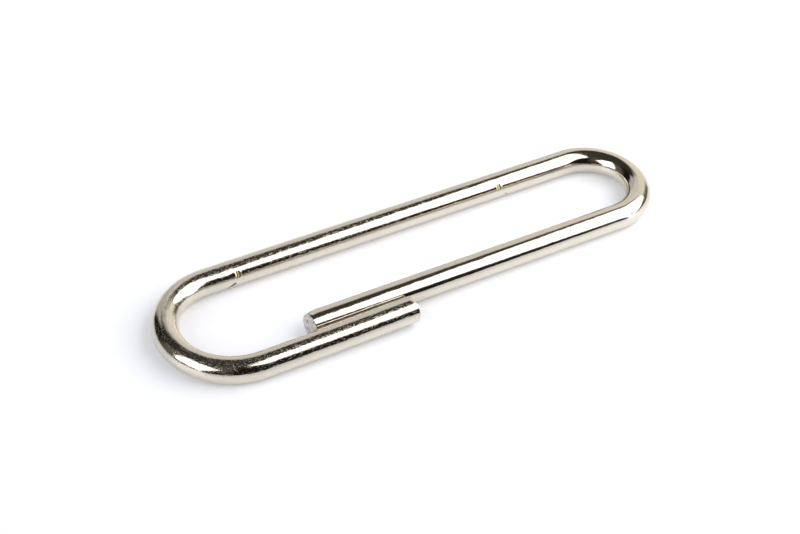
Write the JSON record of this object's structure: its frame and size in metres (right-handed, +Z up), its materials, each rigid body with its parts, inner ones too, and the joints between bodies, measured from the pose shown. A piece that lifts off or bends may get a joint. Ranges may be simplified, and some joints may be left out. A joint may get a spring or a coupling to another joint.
{
  "type": "lapped wire loop clip",
  "caption": "Flat oval loop of round bright plated wire, wider at one end, whose sheared free ends lie side by side along a long side and spring apart to let a ring or strap in.",
  "frame": {"origin": "middle of the loop's outline, on the surface that it lies on", "axes": "+X along the loop from the wide bend to the narrow bend, +Y from the lapped side to the unbroken side, +Z up, square to the loop's plane"},
  "size_m": [0.0632, 0.0174, 0.0032],
  "materials": {
    "nickel_plate": "bright nickel plate over drawn steel wire, with fine pits and draw marks"
  },
  "bodies": {
    "root": {"wire_loop": "nickel_plate"}
  },
  "joints": []
}
